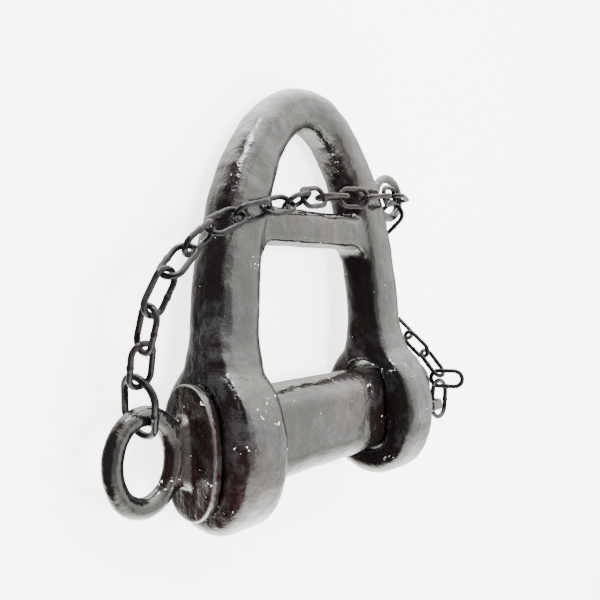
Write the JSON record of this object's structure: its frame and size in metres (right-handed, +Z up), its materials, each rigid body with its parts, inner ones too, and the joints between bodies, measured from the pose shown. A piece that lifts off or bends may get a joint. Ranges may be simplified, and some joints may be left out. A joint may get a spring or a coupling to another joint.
{
  "type": "bow shackle",
  "caption": "Heavy forged bow shackle with a crossbar, an oval eye pin held by a flat forelock key, and keeper chains from the pin eye and the key to a padeye on the bow.",
  "frame": {"origin": "centre of the bounding box's bottom face, on the ground the shackle lies on", "axes": "+X along the pin from its eye to its key, which is the longest extent; +Y from the pin to the crown; +Z up, out of the shackle's front"},
  "size_m": [0.5152, 0.4917, 0.1493],
  "materials": {
    "bow_paint": "thick glossy black paint over forged steel",
    "pin_paint": "thick glossy black paint over a forged steel pin",
    "chain_paint": "glossy black paint over welded steel chain"
  },
  "bodies": {
    "bow": {"bow_body": "bow_paint", "crossbar": "bow_paint", "padeye_ring": "bow_paint", "front_link_16": "chain_paint"},
    "pin": {"pin_shank": "pin_paint", "pin_flange": "pin_paint", "pin_eye": "pin_paint"},
    "key": {"forelock_key": "chain_paint", "rear_link_01": "chain_paint"},
    "eye_link": {"front_link_01": "chain_paint"},
    "front_chain": {"front_link_02": "chain_paint", "front_link_04": "chain_paint", "front_link_06": "chain_paint", "front_link_08": "chain_paint", "front_link_10": "chain_paint", "front_link_12": "chain_paint", "front_link_14": "chain_paint", "front_link_15": "chain_paint"},
    "rear_upper": {"rear_link_02": "chain_paint", "rear_link_03": "chain_paint", "rear_link_05": "chain_paint"},
    "rear_lower": {"rear_link_06": "chain_paint", "rear_link_08": "chain_paint", "rear_link_10": "chain_paint"},
    "front_link_03_body": {"front_link_03": "chain_paint"},
    "front_link_05_body": {"front_link_05": "chain_paint"},
    "front_link_07_body": {"front_link_07": "chain_paint"},
    "front_link_09_body": {"front_link_09": "chain_paint"},
    "front_link_11_body": {"front_link_11": "chain_paint"},
    "front_link_13_body": {"front_link_13": "chain_paint"},
    "rear_link_04_body": {"rear_link_04": "chain_paint"},
    "rear_link_07_body": {"rear_link_07": "chain_paint"},
    "rear_link_09_body": {"rear_link_09": "chain_paint"}
  },
  "joints": [
    {"name": "pin_slide", "type": "slide", "parent": "bow", "child": "pin", "axis": [-1, 0, 0], "range_m": [0, 0.02]},
    {"name": "key_lift", "type": "slide", "parent": "pin", "child": "key", "axis": [0, 0.1201, 0.9928], "range_m": [0, 0.018]},
    {"name": "front_swing", "type": "hinge", "parent": "bow", "child": "front_chain", "pos_m": [-0.2271, -0.07764, 0.08001], "axis": [0.8772, 0.48, -0.008], "range_deg": [0, 30]},
    {"name": "eye_link_turn", "type": "hinge", "parent": "bow", "child": "eye_link", "pos_m": [-0.2271, -0.07764, 0.08001], "axis": [0, 0.3819, -0.9242], "range_deg": [0, 23]},
    {"name": "rear_upper_follow", "type": "slide", "parent": "bow", "child": "rear_upper", "axis": [-1, 0, 0], "range_m": [0, 0.02]},
    {"name": "rear_lower_turn", "type": "hinge", "parent": "bow", "child": "rear_lower", "pos_m": [0.18489, 0.1146, 0.0601], "axis": [0, -0.1201, -0.9928], "range_deg": [0, 7.2]},
    {"name": "front_link_03_roll", "type": "hinge", "parent": "front_chain", "child": "front_link_03_body", "pos_m": [-0.23281, -0.02636, 0.09695], "axis": [-0.0408, 0.9404, 0.3376], "range_deg": [-8, 8]},
    {"name": "front_link_05_roll", "type": "hinge", "parent": "front_chain", "child": "front_link_05_body", "pos_m": [-0.20453, 0.03434, 0.0981], "axis": [0.7265, 0.6267, -0.2817], "range_deg": [-8, 8]},
    {"name": "front_link_07_roll", "type": "hinge", "parent": "front_chain", "child": "front_link_07_body", "pos_m": [-0.14556, 0.07356, 0.08866], "axis": [0.8995, 0.4359, 0.0294], "range_deg": [-8, 8]},
    {"name": "front_link_09_roll", "type": "hinge", "parent": "front_chain", "child": "front_link_09_body", "pos_m": [-0.07712, 0.09536, 0.08977], "axis": [0.9627, 0.2584, -0.0807], "range_deg": [-8, 8]},
    {"name": "front_link_11_roll", "type": "hinge", "parent": "front_chain", "child": "front_link_11_body", "pos_m": [-0.00821, 0.11112, 0.07649], "axis": [0.9781, 0.1425, -0.1514], "range_deg": [-8, 8]},
    {"name": "front_link_13_roll", "type": "hinge", "parent": "front_chain", "child": "front_link_13_body", "pos_m": [0.06303, 0.11768, 0.07939], "axis": [0.9765, 0.0844, 0.1983], "range_deg": [-8, 8]},
    {"name": "rear_link_04_roll", "type": "hinge", "parent": "rear_upper", "child": "rear_link_04_body", "pos_m": [0.23133, -0.07929, 0.07751], "axis": [-0.0834, 0.5815, -0.8092], "range_deg": [-8, 8]},
    {"name": "rear_link_07_roll", "type": "hinge", "parent": "rear_lower", "child": "rear_link_07_body", "pos_m": [0.21033, -0.00059, 0.0161], "axis": [-0.3066, 0.9507, -0.0464], "range_deg": [-8, 8]},
    {"name": "rear_link_09_roll", "type": "hinge", "parent": "rear_lower", "child": "rear_link_09_body", "pos_m": [0.1899, 0.06774, 0.02234], "axis": [-0.2183, 0.9323, 0.2883], "range_deg": [-8, 8]}
  ],
  "couplings": [
    {"joint": "eye_link_turn", "follows": "pin_slide", "rad_per_m": 19.6},
    {"joint": "rear_upper_follow", "follows": "pin_slide", "ratio": 1},
    {"joint": "rear_lower_turn", "follows": "pin_slide", "rad_per_m": 6.1}
  ]
}
